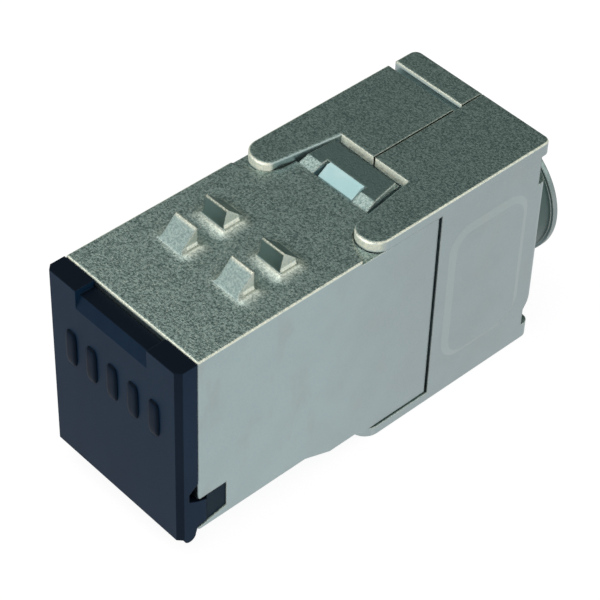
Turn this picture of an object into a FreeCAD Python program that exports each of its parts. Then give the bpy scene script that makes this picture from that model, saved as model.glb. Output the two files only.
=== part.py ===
"""Shielded tool-free keystone jack: a parametric FreeCAD document.

Frame: +X to the right, +Y rearwards from the front edge of the die-cast
housing, +Z up towards the fixed lugs.  The origin is on the axis of the
modular plug port, in the plane of the housing's front edge.  Millimetres.
"""
import FreeCAD
import Part
import math
import os
import Sketcher

# Driving sizes, in millimetres: alias, value, what it measures.
SIZES = [
    ("port_width", 11.9, "plug port, across"),
    ("port_height", 6.75, "plug port, main opening"),
    ("port_below", 4.4, "port floor below the axis"),
    ("key_width", 6.3, "wide step of the clip slot"),
    ("key_height", 0.9, "height of the wide step"),
    ("clip_width", 3.9, "narrow step of the clip slot"),
    ("clip_height", 0.85, "height of the narrow step"),
    ("port_depth", 12.6, "port, front to back"),
    ("insert_side", 0.35, "insert wall beside the port"),
    ("insert_roof", 3.45, "insert above the clip slot"),
    ("insert_floor", 3.45, "insert below the port"),
    ("insert_back", 1.3, "insert wall behind the port"),
    ("insert_recess", 0.1, "insert face behind the housing edge"),
    ("fit_gap", 0.05, "clearance of parts pushed together"),
    ("side_wall", 0.9, "housing side wall"),
    ("top_wall", 1.0, "housing top wall"),
    ("floor_wall", 0.9, "housing floor wall"),
    ("cap_cover", 4.1, "housing over the wire cap"),
    ("edge_round", 0.2, "rounding of the cast outer edges"),
    ("rail_flat", 3.0, "level rails in front of the ear pad"),
    ("rail_run", 2.6, "length of the rails' ramp"),
    ("rail_drop", 1.0, "rails below the front section"),
    ("pad_lead", 0.5, "lower ear pad in front of the ear"),
    ("pad_drop", 0.4, "ear pad below the rails"),
    ("lug_width", 2.3, "fixed lug, across"),
    ("lug_spacing", 6.1, "lug centre to lug centre"),
    ("lug_height", 1.6, "fixed lug above the housing"),
    ("lug_front_length", 1.7, "front lug, ramp and top"),
    ("lug_rear_length", 2.2, "rear lug, ramp and top"),
    ("lug_crest", 0.1, "flat top of a lug"),
    ("lug_lean", 0.4, "lean of the rear lug's face"),
    ("lug_root", 0.4, "rounding at the sides of a lug's root"),
    ("panel_plane", 7.85, "front face of the panel slot"),
    ("panel_slot", 2.4, "panel slot between the lugs"),
    ("door_proud", 0.09, "doors outside the housing sides"),
    ("door_rise", 0.69, "door top above the housing top"),
    ("ear_sink", 0.24, "ear below the housing top"),
    ("ear_radius", 1.5, "rounded end of a door ear"),
    ("ear_reach", 5.1, "pivot to the housing's rear edge"),
    ("ear_tip", 1.3, "flat inner corner of the ear"),
    ("ear_inner_round", 1.2, "rounding of the ear's inner corner"),
    ("ear_lower", 0.98, "lower ear thickness"),
    ("swing_gap", 0.06, "running gap above and below an ear"),
    ("seat_flare", 1.1, "seat front wall, centre to side"),
    ("seat_room", 0.35, "seat wall in front of the ear"),
    ("stud_radius", 0.9, "door pivot stud"),
    ("stud_gap", 0.05, "running gap round a stud"),
    ("stud_length", 0.75, "stud below the ear"),
    ("stud_end", 0.1, "end gap of a stud"),
    ("split_gap", 0.3, "gap between housing and doors"),
    ("door_length", 11.6, "doors, front to back"),
    ("door_side", 0.9, "door side wall"),
    ("door_back", 1.45, "door rear wall"),
    ("meet_gap", 0.16, "gap between the closed doors"),
    ("bay_half", 3.35, "half width of the bay between the ears"),
    ("door_round", 0.7, "rear corner of a door"),
    ("heel_round", 0.9, "lower rear corner of a door"),
    ("lip_height", 1.15, "rear lip above a hook notch"),
    ("notch_height", 2.8, "upper hook notch"),
    ("notch_depth", 1.0, "hook notch, front to back"),
    ("notch_width", 1.3, "hook notch, across"),
    ("notch_low", 1.6, "lower hook notch"),
    ("notch_slant", 1.7, "slanted edge over the lower notch"),
    ("groove_width", 0.9, "strap groove, front to back"),
    ("groove_depth", 1.07, "strap groove depth"),
    ("strip_length", 2.25, "strip behind the strap groove"),
    ("rib_wall", 0.5, "wall under the strap groove"),
    ("panel_rise", 0.2, "raised panel on a door side"),
    ("panel_slope", 0.6, "sloping border of that panel"),
    ("panel_front", 1.1, "panel margin at the front"),
    ("panel_rear", 2.0, "panel margin at the rear"),
    ("panel_over", 3.5, "panel margin above"),
    ("panel_under", 3.4, "panel margin below"),
    ("panel_round", 2.2, "panel corners"),
    ("cable_radius", 4.2, "cable outlet bore"),
    ("collar_wall", 1.65, "collar wall"),
    ("collar_length", 3.35, "collar behind the doors"),
    ("rim_width", 0.45, "collar rim, front to back"),
    ("rim_proud", 0.3, "collar rim above the collar"),
    ("collar_drop", 1.45, "collar axis below the port axis"),
    ("bay_length", 3.85, "front of the bridge to the rear edge"),
    ("bridge_ramp", 0.9, "steep front of the bridge"),
    ("bridge_step", 0.45, "rise of that ramp"),
    ("bridge_top", 0.64, "bridge above the housing, at its rear"),
    ("bridge_gap", 0.8, "bridge to the doors"),
    ("window_left", 2.25, "cap window, left of the centre"),
    ("window_right", 1.95, "cap window, right of the centre"),
    ("window_length", 1.45, "cap window, front to back"),
    ("relief_wide", 0.6, "gap between bridge and right ear"),
    ("relief_slim", 0.3, "gap between bridge and left ear"),
    ("relief_depth", 0.3, "those gaps below the ear seat"),
    ("relief_lap", 0.3, "those gaps under the ear"),
    ("seat_inner", 0.45, "seat wall beside the ear"),
    ("flap_depth", 1.79, "flap in front of the housing"),
    ("flap_face", 0.9, "flap face thickness"),
    ("flap_wall", 0.85, "flap side and top walls"),
    ("flap_gap", 0.06, "flap to housing"),
    ("flap_chamfer", 0.42, "bevel down the flap's sides"),
    ("hinge_ahead", 0.82, "flap hinge in front of the housing"),
    ("hinge_below", 0.05, "flap hinge below the front section"),
    ("barrel_radius", 0.68, "flap barrel"),
    ("barrel_half", 5.05, "half length of the barrel"),
    ("boss_radius", 0.55, "rounded end of an arm"),
    ("pin_radius", 0.25, "flap hinge pin"),
    ("pin_length", 0.6, "flap hinge pin"),
    ("pin_gap", 0.05, "running gap round the pin"),
    ("knuckle_radius", 0.5, "insert knuckle"),
    ("knuckle_width", 1.05, "insert knuckle, across"),
    ("knuckle_gap", 0.1, "gap at the ends of a knuckle"),
    ("web_height", 2.2, "knuckle web above the hinge"),
    ("web_gap", 0.12, "web to the housing edge"),
    ("arm_reach", 0.75, "flap arm behind the housing edge"),
    ("arm_gap", 0.1, "arm to the block behind it"),
    ("arm_low", 0.65, "arm underside above the hinge"),
    ("arm_fall", 0.4, "drop of the arm's rear corner"),
    ("arm_slope", 0.12, "drop of the arm at the housing edge"),
    ("arm_root", 4.05, "arm top at the flap face"),
    ("block_inset", 0.1, "block inside the housing side"),
    ("notch_room", 0.3, "notch inside the arm"),
    ("arm_radius", 3.45, "top of the flap arm about the hinge"),
    ("side_stop", 5.25, "flap side wall ends above the hinge"),
    ("side_bevel", 1.0, "bevel of that end"),
    ("side_notch_length", 2.68, "housing side notch"),
    ("side_notch_top", 3.5, "side notch above the hinge"),
    ("side_notch_low", 0.4, "side notch floor above the hinge"),
    ("side_notch_rise", 0.55, "rise of the notch floor"),
    ("thumb_half", 3.9, "half width of the thumb notch"),
    ("thumb_ledge", 0.55, "thumb notch ledge below the top"),
    ("scoop_height", 1.15, "bevel under the thumb notch"),
    ("scoop_depth", 0.4, "depth of that bevel"),
    ("contact_pitch", 1.02, "plug contact spacing"),
    ("contact_width", 0.5, "plug contact, across"),
    ("contact_thick", 0.35, "plug contact thickness"),
    ("contact_drop", 1.03, "contact leg below the port floor"),
    ("contact_front", 3.2, "front bend of a contact"),
    ("contact_rise", 1.18, "contact leg to its second bend"),
    ("contact_run", 6.4, "sloping finger, front to back"),
    ("contact_lift", 1.65, "rise of the sloping finger"),
    ("contact_bend", 0.45, "bend radius of a contact"),
    ("comb_gap", 0.1, "contact to comb rib"),
    ("spring_thick", 0.2, "shield spring"),
    ("spring_height", 3.0, "shield spring, up"),
    ("spring_start", 2.0, "front end of a shield spring"),
    ("spring_bend", 0.8, "bend radius of a shield spring"),
    ("spring_room", 0.2, "room round a shield spring"),
    ("spring_foot", 1.2, "flat foot of a shield spring"),
    ("spring_bow", 2.3, "half length of the bow"),
    ("spring_reach", 0.6, "bow into the port"),
    ("spring_drop", 1.0, "spring centre below the axis"),
    ("board_thick", 1.2, "circuit board"),
    ("solder_hole", 0.36, "board hole radius"),
    ("terminal_wall", 0.38, "block wall beside the last terminal"),
    ("terminal_rise", 4.25, "terminal rows above and below the axis"),
    ("terminal_width", 1.8, "terminal, across"),
    ("terminal_thick", 0.4, "terminal thickness"),
    ("terminal_reach", 2.4, "prongs behind the block"),
    ("terminal_tail", 0.5, "solder tail width"),
    ("terminal_seat", 0.5, "terminal plate behind the block's face"),
    ("terminal_gap", 0.1, "terminal to its slot"),
    ("prong_slot", 0.35, "slot between the prongs"),
    ("prong_depth", 3.0, "slot depth"),
    ("prong_bevel", 0.4, "bevel of a prong tip"),
    ("block_length", 3.4, "terminal block"),
    ("block_low", 0.25, "top of the block below the insert"),
    ("board_margin", 0.12, "board and block inside the housing"),
    ("cap_gap", 0.5, "terminal block to wire cap"),
    ("cap_length", 11.3, "wire cap"),
    ("cap_margin", 0.3, "wire cap to the housing walls"),
    ("cap_pocket", 2.8, "cap pockets for the prongs"),
    ("cap_room", 0.3, "room round the prongs"),
    ("wire_channel", 1.3, "wire channel width"),
    ("wire_start", 1.1, "wire channel behind the cap's front"),
    ("wire_length", 1.9, "wire channel, front to back"),
    ("funnel_half", 2.9, "half width of the opening in the cap's rear"),
    ("funnel_depth", 6.5, "depth of that opening"),
    ("tab_left", 1.76, "cap catch, left of the centre"),
    ("tab_right", 1.87, "cap catch, right of the centre"),
    ("tab_room", 0.1, "cap catch to the window's ends"),
    ("tab_run", 0.9, "sloping front of the catch"),
    ("tab_rise", 0.62, "catch above the housing"),
    ("latch_width", 7.0, "keystone latch, across"),
    ("latch_thick", 0.4, "latch sheet"),
    ("latch_root", 1.2, "latch root behind the front edge"),
    ("latch_catch", 0.8, "catch over the panel"),
    ("latch_nose", 0.4, "flat of the catch"),
    ("latch_tail", 4.9, "tail behind the panel slot"),
    ("latch_bend", 0.3, "bend radius of the latch"),
    ("latch_flat", 2.0, "flat root of the latch"),
    ("latch_step", 0.15, "slope of the latch slot's sides"),
    ("tail_rise", 0.35, "rise of the latch tail"),
    ("stake_radius", 0.55, "cast stake"),
    ("stake_length", 0.45, "cast stake below the housing"),
    ("stake_half", 2.2, "stakes off the centre"),
    ("stake_back", 1.0, "stakes behind the latch's front end"),
    ("channel_room", 0.8, "channel beside the latch"),
]

doc = FreeCAD.newDocument("KeystoneJack")
sheet = doc.addObject("Spreadsheet::Sheet", "Sizes")


class Size:
    """A size of the sheet, or a sum of sizes, with its expression text."""

    def __init__(self, text, value):
        self.text = text
        self.value = value

    def __add__(self, other):
        other = as_size(other)
        return Size(f"({self.text} + {other.text})", self.value + other.value)

    def __radd__(self, other):
        return as_size(other) + self

    def __sub__(self, other):
        other = as_size(other)
        return Size(f"({self.text} - {other.text})", self.value - other.value)

    def __rsub__(self, other):
        return as_size(other) - self

    def __mul__(self, other):
        other = as_size(other)
        return Size(f"({self.text} * {other.text})", self.value * other.value)

    def __rmul__(self, other):
        return as_size(other) * self

    def __truediv__(self, other):
        other = as_size(other)
        return Size(f"({self.text} / {other.text})", self.value / other.value)

    def __neg__(self):
        return as_size(0) - self


def as_size(number):
    """A plain number as a Size, so that sums may hold both."""
    if isinstance(number, Size):
        return number
    return Size(f"({number})" if number < 0 else f"{number}", number)


class Sheet:
    """The driving sizes as attributes that can be added and halved."""


S = Sheet()
for row, (alias, value, meaning) in enumerate(SIZES, start=1):
    sheet.set(f"A{row}", meaning)
    sheet.set(f"B{row}", str(value))
    sheet.setAlias(f"B{row}", alias)
    setattr(S, alias, Size(f"Sizes.{alias}", value))
doc.recompute()

# Levels and planes that several pieces share, worked out from the sheet.
PORT_FLOOR = -S.port_below
PORT_TOP = S.port_height - S.port_below
CLIP_TOP = PORT_TOP + S.key_height + S.clip_height
INSERT_HALF = S.port_width / 2 + S.insert_side
INSERT_TOP = CLIP_TOP + S.insert_roof
INSERT_BOTTOM = PORT_FLOOR - S.insert_floor
INSERT_REAR = S.insert_recess + S.port_depth + S.insert_back
BOARD_FRONT = INSERT_REAR + S.fit_gap
BOARD_REAR = BOARD_FRONT + S.board_thick
BLOCK_FRONT = BOARD_REAR + S.fit_gap
BLOCK_REAR = BLOCK_FRONT + S.block_length
CAP_FRONT = BLOCK_REAR + S.cap_gap
CAP_REAR = CAP_FRONT + S.cap_length
BODY_LENGTH = CAP_FRONT + S.cap_cover
BRIDGE_FRONT = BODY_LENGTH - S.bay_length
INNER_HALF = INSERT_HALF + S.fit_gap
INNER_TOP = INSERT_TOP + S.fit_gap
INNER_BOTTOM = INSERT_BOTTOM - S.fit_gap
BODY_HALF = INNER_HALF + S.side_wall
BODY_TOP = INNER_TOP + S.top_wall
BODY_BOTTOM = INNER_BOTTOM - S.floor_wall
RAIL_BOTTOM = BODY_BOTTOM - S.rail_drop
PAD_BOTTOM = RAIL_BOTTOM - S.pad_drop
SEAT = BODY_TOP - S.ear_sink - S.swing_gap
DOOR_HALF = BODY_HALF + S.door_proud
DOOR_TOP = BODY_TOP + S.door_rise
EAR_UNDER = BODY_TOP - S.ear_sink
LOWER_EAR_TOP = PAD_BOTTOM - S.swing_gap
DOOR_BOTTOM = LOWER_EAR_TOP - S.ear_lower
DOOR_FRONT = BODY_LENGTH + S.split_gap
DOOR_REAR = DOOR_FRONT + S.door_length
PIVOT_X = DOOR_HALF - S.ear_radius
PIVOT_Y = BODY_LENGTH - S.ear_reach
EAR_FRONT = PIVOT_Y - S.ear_radius
EAR_INNER = PIVOT_X - S.ear_tip
EAR_ROOT = DOOR_FRONT + S.door_back
BRIDGE_REAR = DOOR_FRONT - S.bridge_gap
PAD_START = EAR_FRONT - S.pad_lead
RAIL_START = PAD_START - S.rail_flat - S.rail_run
HINGE_Y = -S.hinge_ahead
HINGE_Z = BODY_BOTTOM - S.hinge_below
FLAP_TOP = BODY_TOP - S.flap_gap
FLAP_INNER = BODY_HALF - S.flap_wall
CONTACT_LEG = PORT_FLOOR - S.contact_drop
COLLAR_Z = -S.collar_drop
COLLAR_RADIUS = S.cable_radius + S.collar_wall
CUT = 2.0


def bind(obj, path, size):
    """Tie one property of an object to the sheet."""
    obj.setExpression(path, as_size(size).text)


def new_body(label):
    """An empty body whose label names its file."""
    body = doc.addObject("PartDesign::Body", "Body_" + label)
    body.Label = label
    return body


def new_sketch(body, plane, level):
    """A sketch on one of the body's origin planes, moved along its normal."""
    sketch = body.newObject("Sketcher::SketchObject", "Sketch")
    for feature in body.Origin.OriginFeatures:
        if feature.Role == plane + "_Plane":
            sketch.AttachmentSupport = [(feature, "")]
    sketch.MapMode = "FlatFace"
    bind(sketch, "AttachmentOffset.Base.z", level)
    return sketch


def tie(sketch, kind, where, size):
    """A distance from the sketch's origin, or a radius, read from the sheet."""
    size = as_size(size)
    index = sketch.addConstraint(Sketcher.Constraint(kind, *where, size.value))
    sketch.setExpression(f"Constraints[{index}]", size.text)


def place(sketch, element, point, u, v):
    """Tie a point of an element to its two distances from the origin."""
    tie(sketch, "DistanceX", (-1, 1, element, point), u)
    tie(sketch, "DistanceY", (-1, 1, element, point), v)


def circle(sketch, u, v, radius):
    """A full circle."""
    centre = FreeCAD.Vector(as_size(u).value, as_size(v).value, 0)
    shape = Part.Circle(centre, FreeCAD.Vector(0, 0, 1), as_size(radius).value)
    element = sketch.addGeometry(shape, False)
    place(sketch, element, 3, u, v)
    tie(sketch, "Radius", (element,), radius)


def corner_arc(before, corner, after, radius):
    """Start, end, centre and sense of the arc that rounds a corner."""
    back = (before - corner).normalize()
    ahead = (after - corner).normalize()
    half = back.getAngle(ahead) / 2
    reach = radius / math.tan(half)
    centre = corner + (back + ahead).normalize() * (radius / math.sin(half))
    left_turn = (corner - before).cross(after - corner).z > 0
    return corner + back * reach, corner + ahead * reach, centre, left_turn


def add_arc(sketch, start, end, centre, radius, left_turn):
    """Add an arc; gives its element and which of its ends comes first."""
    first, last = (start, end) if left_turn else (end, start)
    ring = Part.Circle(centre, FreeCAD.Vector(0, 0, 1), radius)
    low = math.atan2(first.y - centre.y, first.x - centre.x)
    high = math.atan2(last.y - centre.y, last.x - centre.x)
    if high < low:
        high += 2 * math.pi
    element = sketch.addGeometry(Part.ArcOfCircle(ring, low, high), False)
    return (element, 1, 2) if left_turn else (element, 2, 1)


def outline(sketch, corners, closed=True):
    """Straight sides between corners (u, v) or (u, v, radius)."""
    spots = [FreeCAD.Vector(as_size(c[0]).value, as_size(c[1]).value, 0) for c in corners]
    count = len(corners)
    joints = []
    for index, corner in enumerate(corners):
        rounded = len(corner) == 3 and (closed or 0 < index < count - 1)
        if not rounded:
            joints.append((spots[index], spots[index], None))
            continue
        before = spots[index - 1]
        after = spots[(index + 1) % count]
        radius = as_size(corner[2]).value
        start, end, centre, left_turn = corner_arc(before, spots[index], after, radius)
        arc = add_arc(sketch, start, end, centre, radius, left_turn)
        joints.append((start, end, arc))
    lines = []
    for index in range(count if closed else count - 1):
        start = joints[index][1]
        end = joints[(index + 1) % count][0]
        lines.append(sketch.addGeometry(Part.LineSegment(start, end), False))
    for index, corner in enumerate(corners):
        arc = joints[index][2]
        coming = lines[index - 1] if closed or index > 0 else None
        going = lines[index] if index < len(lines) else None
        if arc is None:
            if coming is not None and going is not None:
                sketch.addConstraint(Sketcher.Constraint("Coincident", coming, 2, going, 1))
            element, point = (going, 1) if going is not None else (coming, 2)
            place(sketch, element, point, corner[0], corner[1])
            continue
        element, first, last = arc
        sketch.addConstraint(Sketcher.Constraint("Tangent", coming, 2, element, first))
        sketch.addConstraint(Sketcher.Constraint("Tangent", element, last, going, 1))
        tie(sketch, "Radius", (element,), corner[2])
        mark = sketch.addGeometry(Part.Point(spots[index]), True)
        sketch.addConstraint(Sketcher.Constraint("PointOnObject", mark, 1, coming))
        sketch.addConstraint(Sketcher.Constraint("PointOnObject", mark, 1, going))
        place(sketch, mark, 1, corner[0], corner[1])


def rectangle(low_u, low_v, high_u, high_v):
    """The four corners of an upright rectangle."""
    return [(low_u, low_v), (high_u, low_v), (high_u, high_v), (low_u, high_v)]


def draw(sketch, shapes):
    """Draw outlines, given as corner lists, and circles, as (u, v, radius)."""
    for shape in shapes:
        if isinstance(shape, tuple):
            circle(sketch, *shape)
        else:
            outline(sketch, shape)


def pad(body, plane, low, high, *shapes):
    """Material between two levels.  The XZ plane's normal is -Y."""
    level = -as_size(high) if plane == "XZ" else as_size(low)
    sketch = new_sketch(body, plane, level)
    draw(sketch, shapes)
    feature = body.newObject("PartDesign::Pad", "Pad")
    feature.Profile = sketch
    bind(feature, "Length", as_size(high) - low)
    return feature


def pocket(body, plane, low, high, *shapes):
    """A cut between two levels; it runs against the sketch's normal."""
    level = -as_size(low) if plane == "XZ" else as_size(high)
    sketch = new_sketch(body, plane, level)
    draw(sketch, shapes)
    feature = body.newObject("PartDesign::Pocket", "Pocket")
    feature.Profile = sketch
    bind(feature, "Length", as_size(high) - low)
    return feature


def loft(body, plane, *stations):
    """Straight flanks between outlines, each given as (level, outline)."""
    sketches = []
    for level, shape in stations:
        sketch = new_sketch(body, plane, as_size(level))
        draw(sketch, [shape])
        sketches.append(sketch)
    doc.recompute()
    feature = body.newObject("PartDesign::AdditiveLoft", "Loft")
    feature.Profile = sketches[0]
    feature.Sections = sketches[1:]
    feature.Ruled = True
    return feature


def sweep(body, plane, level, path, section_plane, section_level, section):
    """A bent strip: a section carried along a path of lines and arcs."""
    spine = new_sketch(body, plane, level)
    outline(spine, path, closed=False)
    profile = new_sketch(body, section_plane, section_level)
    draw(profile, [section])
    doc.recompute()
    pipe = body.newObject("PartDesign::AdditivePipe", "Pipe")
    pipe.Profile = profile
    pipe.Spine = (spine, [])
    pipe.Mode = "Frenet"
    return pipe


def dress(body, kind, size, chosen):
    """Round or bevel the edges of the body for which chosen(edge) is true."""
    doc.recompute()
    tip = body.Tip
    names = [f"Edge{i}" for i, edge in enumerate(tip.Shape.Edges, start=1) if chosen(edge)]
    if not names:
        raise RuntimeError(f"{body.Label}: no edge to finish")
    feature = body.newObject("PartDesign::" + kind, kind)
    feature.Base = (tip, names)
    bind(feature, "Radius" if kind == "Fillet" else "Size", size)
    return feature


def near(value, size):
    """Whether a coordinate is at a level of the model."""
    return abs(value - as_size(size).value) < 0.005


def runs_along(edge, axis):
    """Whether an edge is straight and parallel to one axis."""
    if not isinstance(edge.Curve, (Part.Line, Part.LineSegment)):
        return False
    ends = edge.Vertexes
    step = ends[1].Point - ends[0].Point
    return abs(abs(step.dot(axis)) - step.Length) < 1e-6


X_AXIS = FreeCAD.Vector(1, 0, 0)
Y_AXIS = FreeCAD.Vector(0, 1, 0)
Z_AXIS = FreeCAD.Vector(0, 0, 1)


def all_at(edge, level):
    """Whether a whole edge lies at one height."""
    return all(near(vertex.Z, level) for vertex in edge.Vertexes)


def both_ways(spots):
    """Spots mirrored to the other side of the centre."""
    return [side * spot for spot in spots for side in (-1, 1)]


BARREL_TOP = HINGE_Z + S.barrel_radius
KNUCKLE_IN = S.barrel_half + S.knuckle_gap
KNUCKLE_OUT = KNUCKLE_IN + S.knuckle_width
BLOCK_HALF = INSERT_HALF - S.board_margin
OUTER_TERMINAL = BLOCK_HALF - S.terminal_wall - S.terminal_gap - S.terminal_width / 2
TERMINALS_X = both_ways([OUTER_TERMINAL / 3, OUTER_TERMINAL])
TERMINALS_Z = both_ways([S.terminal_rise])
CONTACTS_X = sorted(both_ways([S.contact_pitch * (2 * n + 1) / 2 for n in range(4)]), key=lambda x: x.value)


def ear_edge(y):
    """How far off the centre the inner edge of an ear lies, at a place along Y."""
    return EAR_INNER - (EAR_INNER - S.bay_half) * (y - EAR_FRONT) / (EAR_ROOT - EAR_FRONT)


def bridge_room(hand):
    """The gap between the bridge and the ear on one side."""
    return S.relief_wide if hand > 0 else S.relief_slim


def make_housing():
    """The die-cast shell with its lugs, ear seats, window and latch channel."""
    body = new_body("housing")
    side = [
        (0, BODY_BOTTOM),
        (RAIL_START, BODY_BOTTOM),
        (RAIL_START + S.rail_run, RAIL_BOTTOM),
        (PAD_START, RAIL_BOTTOM),
        (PAD_START + S.pad_drop, PAD_BOTTOM),
        (BODY_LENGTH, PAD_BOTTOM),
        (BODY_LENGTH, BODY_TOP),
        (0, BODY_TOP),
    ]
    pad(body, "YZ", -BODY_HALF, BODY_HALF, side)

    def outer(edge):
        middle = edge.CenterOfMass
        return (near(abs(middle.x), BODY_HALF) or near(middle.y, 0)) and not near(middle.y, BODY_LENGTH)

    dress(body, "Fillet", S.edge_round, outer)
    pocket(body, "XZ", -CUT, BODY_LENGTH + CUT, rectangle(-INNER_HALF, INNER_BOTTOM, INNER_HALF, INNER_TOP))
    channel = S.latch_width / 2 + S.channel_room
    channel_end = S.panel_plane + S.panel_slot + S.latch_tail + S.channel_room
    pocket(body, "YZ", -channel, channel, rectangle(RAIL_START, PAD_BOTTOM - CUT, channel_end, BODY_BOTTOM))
    root = BODY_TOP - S.top_wall / 2
    slot_end = S.panel_plane + S.panel_slot
    front_lug = [
        (S.panel_plane - S.lug_front_length, root),
        (S.panel_plane, root),
        (S.panel_plane, BODY_TOP + S.lug_height),
        (S.panel_plane - S.lug_crest, BODY_TOP + S.lug_height),
        (S.panel_plane - S.lug_front_length, BODY_TOP),
    ]
    rear_lug = [
        (slot_end, root),
        (slot_end + S.lug_rear_length, root),
        (slot_end + S.lug_rear_length, BODY_TOP),
        (slot_end + S.lug_lean + S.lug_crest, BODY_TOP + S.lug_height),
        (slot_end + S.lug_lean, BODY_TOP + S.lug_height),
        (slot_end, BODY_TOP),
    ]
    for centre in both_ways([S.lug_spacing / 2]):
        pad(body, "YZ", centre - S.lug_width / 2, centre + S.lug_width / 2, front_lug, rear_lug)

    def lug_side(edge):
        off_centre = abs(abs(edge.CenterOfMass.x) - (S.lug_spacing / 2).value)
        return all_at(edge, BODY_TOP) and runs_along(edge, Y_AXIS) and near(off_centre, S.lug_width / 2)

    dress(body, "Fillet", S.lug_root, lug_side)
    for hand in (-1, 1):
        seat = [
            (hand * EAR_INNER, EAR_FRONT + S.seat_room),
            (hand * (PIVOT_X - S.seat_room), EAR_FRONT - S.seat_room),
            (hand * BODY_HALF, EAR_FRONT - S.seat_flare),
            (hand * (BODY_HALF + CUT), EAR_FRONT - S.seat_flare),
            (hand * (BODY_HALF + CUT), BODY_LENGTH + CUT),
            (hand * S.bay_half, BODY_LENGTH + CUT),
            (hand * (EAR_INNER - S.seat_inner), BRIDGE_FRONT),
            (hand * (EAR_INNER - S.seat_inner), PIVOT_Y),
        ]
        pocket(body, "XY", SEAT, BODY_TOP, seat).TaperAngle = 30
        gap = bridge_room(hand)
        relief = [
            (hand * (ear_edge(BRIDGE_FRONT) - gap), BRIDGE_FRONT),
            (hand * (ear_edge(BRIDGE_FRONT) + S.relief_lap), BRIDGE_FRONT),
            (hand * (ear_edge(BODY_LENGTH) + S.relief_lap), BODY_LENGTH),
            (hand * (ear_edge(BODY_LENGTH) - gap), BODY_LENGTH),
        ]
        pocket(body, "XY", SEAT - S.relief_depth, BODY_TOP + CUT, relief)
    plan = [
        (ear_edge(BRIDGE_FRONT) - bridge_room(1), BRIDGE_FRONT),
        (ear_edge(BRIDGE_REAR) - bridge_room(1), BRIDGE_REAR),
        (bridge_room(-1) - ear_edge(BRIDGE_REAR), BRIDGE_REAR),
        (bridge_room(-1) - ear_edge(BRIDGE_FRONT), BRIDGE_FRONT),
    ]
    pad(body, "XY", BODY_TOP - S.top_wall / 2, BODY_TOP + S.bridge_top, plan)
    above = [
        (BRIDGE_FRONT, BODY_TOP),
        (BRIDGE_FRONT + S.bridge_ramp, BODY_TOP + S.bridge_step),
        (BRIDGE_REAR, BODY_TOP + S.bridge_top),
        (BRIDGE_REAR, BODY_TOP + CUT),
        (BRIDGE_FRONT, BODY_TOP + CUT),
    ]
    pocket(body, "YZ", -EAR_INNER, EAR_INNER, above)
    window = rectangle(-S.window_left, BRIDGE_FRONT, S.window_right, BRIDGE_FRONT + S.window_length)
    pocket(body, "XY", INNER_TOP - CUT, BODY_TOP + CUT, window)
    holes = [(spot, PIVOT_Y, S.stud_radius + S.stud_gap) for spot in both_ways([PIVOT_X])]
    pocket(body, "XY", EAR_UNDER - S.stud_length - S.stud_end, BODY_TOP + CUT, *holes)
    pocket(body, "XY", PAD_BOTTOM - CUT, LOWER_EAR_TOP + S.stud_length + S.stud_end, *holes)
    notch = [
        (-CUT, HINGE_Z + S.side_notch_low),
        (0, HINGE_Z + S.side_notch_low),
        (S.side_notch_length, HINGE_Z + S.side_notch_low + S.side_notch_rise),
        (S.side_notch_length, HINGE_Z + S.side_notch_top),
        (-CUT, HINGE_Z + S.side_notch_top),
    ]
    pocket(body, "YZ", FLAP_INNER - S.notch_room, BODY_HALF + CUT, notch)
    pocket(body, "YZ", -BODY_HALF - CUT, -FLAP_INNER + S.notch_room, notch)
    stakes = [(spot, S.latch_root + S.stake_back, S.stake_radius) for spot in both_ways([S.stake_half])]
    pad(body, "XY", BODY_BOTTOM - S.stake_length, BODY_BOTTOM + S.floor_wall / 2, *stakes)
    return body


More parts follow.
